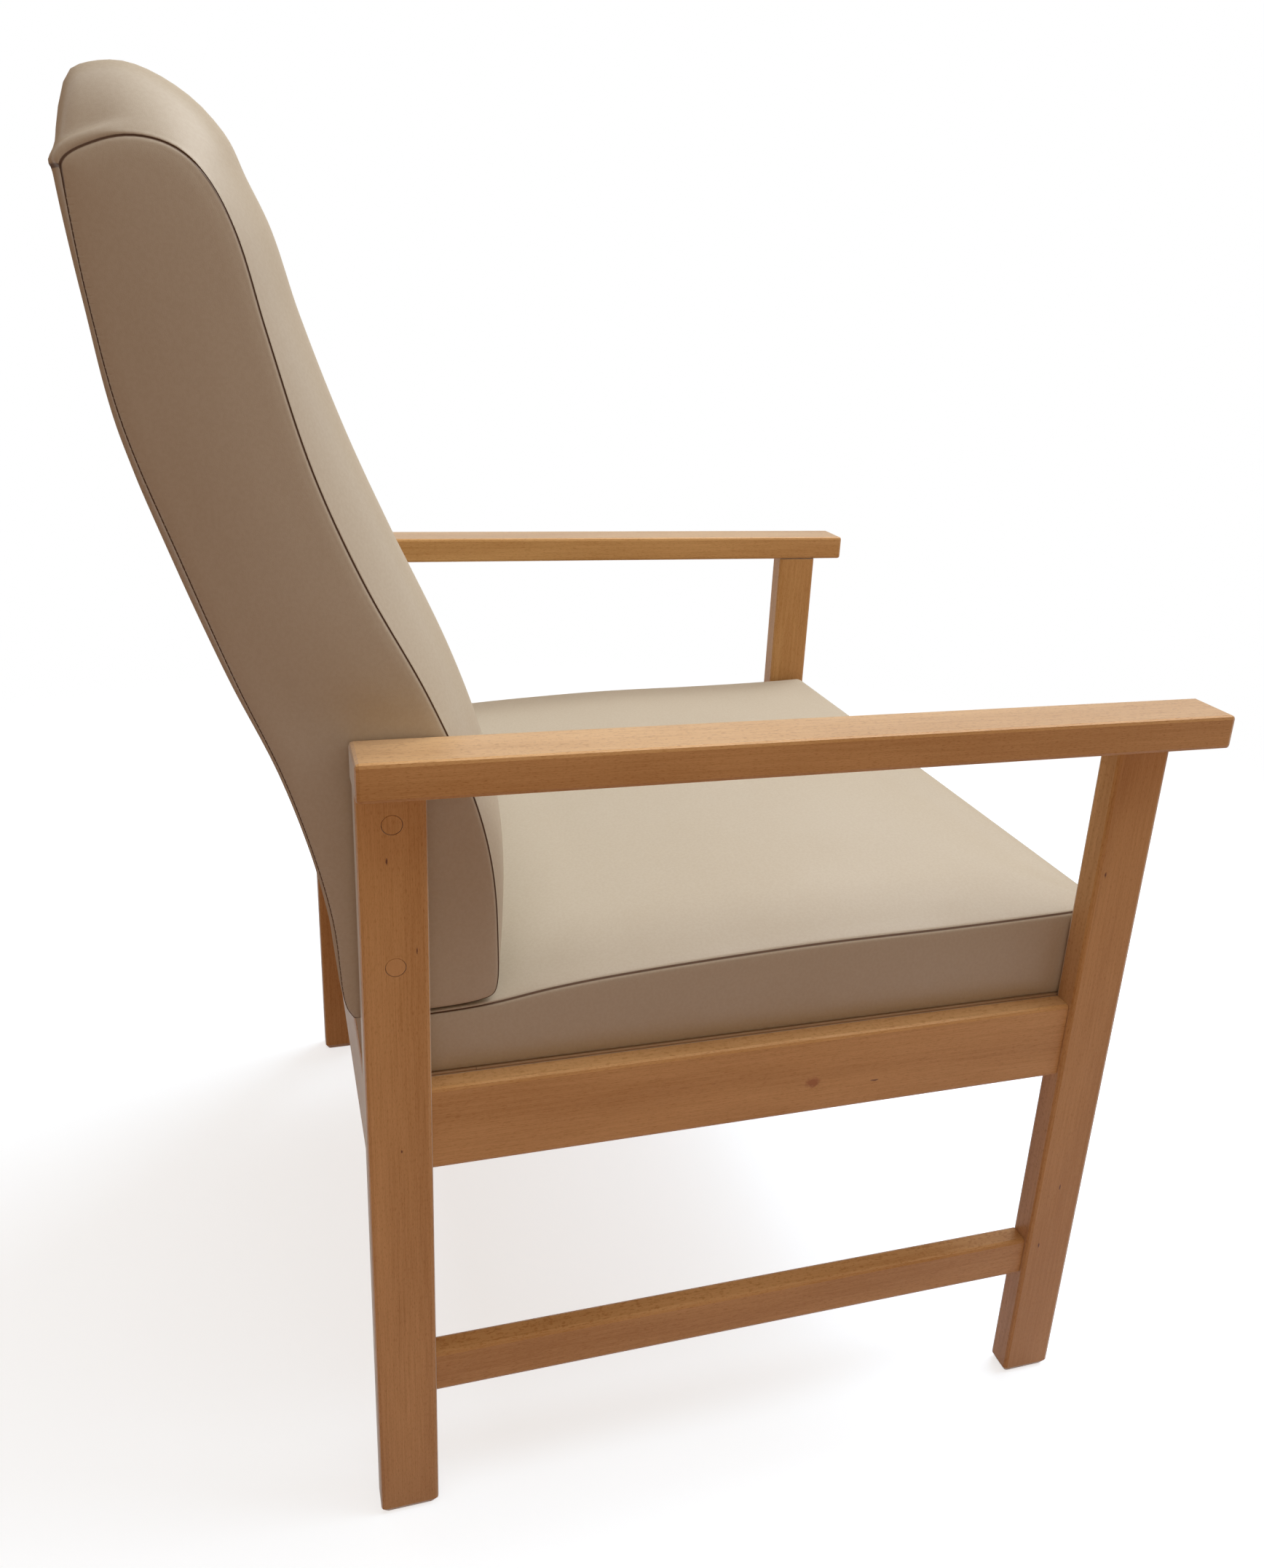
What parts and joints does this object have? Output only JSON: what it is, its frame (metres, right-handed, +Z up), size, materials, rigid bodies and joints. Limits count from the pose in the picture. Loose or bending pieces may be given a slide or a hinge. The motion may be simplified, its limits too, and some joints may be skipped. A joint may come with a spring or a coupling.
{
  "type": "bariatric chair",
  "caption": "Wide high-back armchair for heavy users: a straight beech frame with flat arms, a boxed vinyl seat and a curved vinyl back with a head roll.",
  "frame": {"origin": "On the floor, under the middle of the chair's bounding box.", "axes": "+Z is up. The sitter faces -Y. +X is the sitter's left, across the arms."},
  "size_m": [0.788, 0.8186, 1.0699],
  "materials": {
    "beech": "satin lacquered beech",
    "plywood": "raw birch plywood and softwood",
    "vinyl": "smooth beige wipe-clean vinyl",
    "foam": "cut polyurethane foam",
    "webbing": "woven elastic webbing",
    "steel": "zinc plated steel"
  },
  "bodies": {
    "root": {"armrest_left": "beech", "armrest_right": "beech", "back_bolt_lower_left": "steel", "back_bolt_lower_right": "steel", "back_bolt_upper_left": "steel", "back_bolt_upper_right": "steel", "back_bottom_rail": "plywood", "back_cover": "vinyl", "back_foam": "foam", "back_lumbar_rail": "plywood", "back_side_panel_left": "plywood", "back_side_panel_right": "plywood", "back_top_rail": "plywood", "back_webbing_1": "webbing", "back_webbing_2": "webbing", "back_webbing_3": "webbing", "back_webbing_4": "webbing", "back_webbing_5": "webbing", "corner_block_front_left": "plywood", "corner_block_front_right": "plywood", "corner_block_rear_left": "plywood", "corner_block_rear_right": "plywood", "cover_plug_lower_left": "beech", "cover_plug_lower_right": "beech", "cover_plug_upper_left": "beech", "cover_plug_upper_right": "beech", "front_leg_left": "beech", "front_leg_right": "beech", "front_rail": "beech", "rear_leg_left": "beech", "rear_leg_right": "beech", "rear_rail": "beech", "seat_board": "plywood", "seat_cleat_left": "plywood", "seat_cleat_right": "plywood", "seat_cover": "vinyl", "seat_foam": "foam", "seat_screw_front_left": "steel", "seat_screw_front_right": "steel", "seat_screw_rear_left": "steel", "seat_screw_rear_right": "steel", "side_rail_left": "beech", "side_rail_right": "beech", "side_stretcher_left": "beech", "side_stretcher_right": "beech", "tee_nut_lower_left": "steel", "tee_nut_lower_right": "steel", "tee_nut_upper_left": "steel", "tee_nut_upper_right": "steel"}
  },
  "joints": []
}
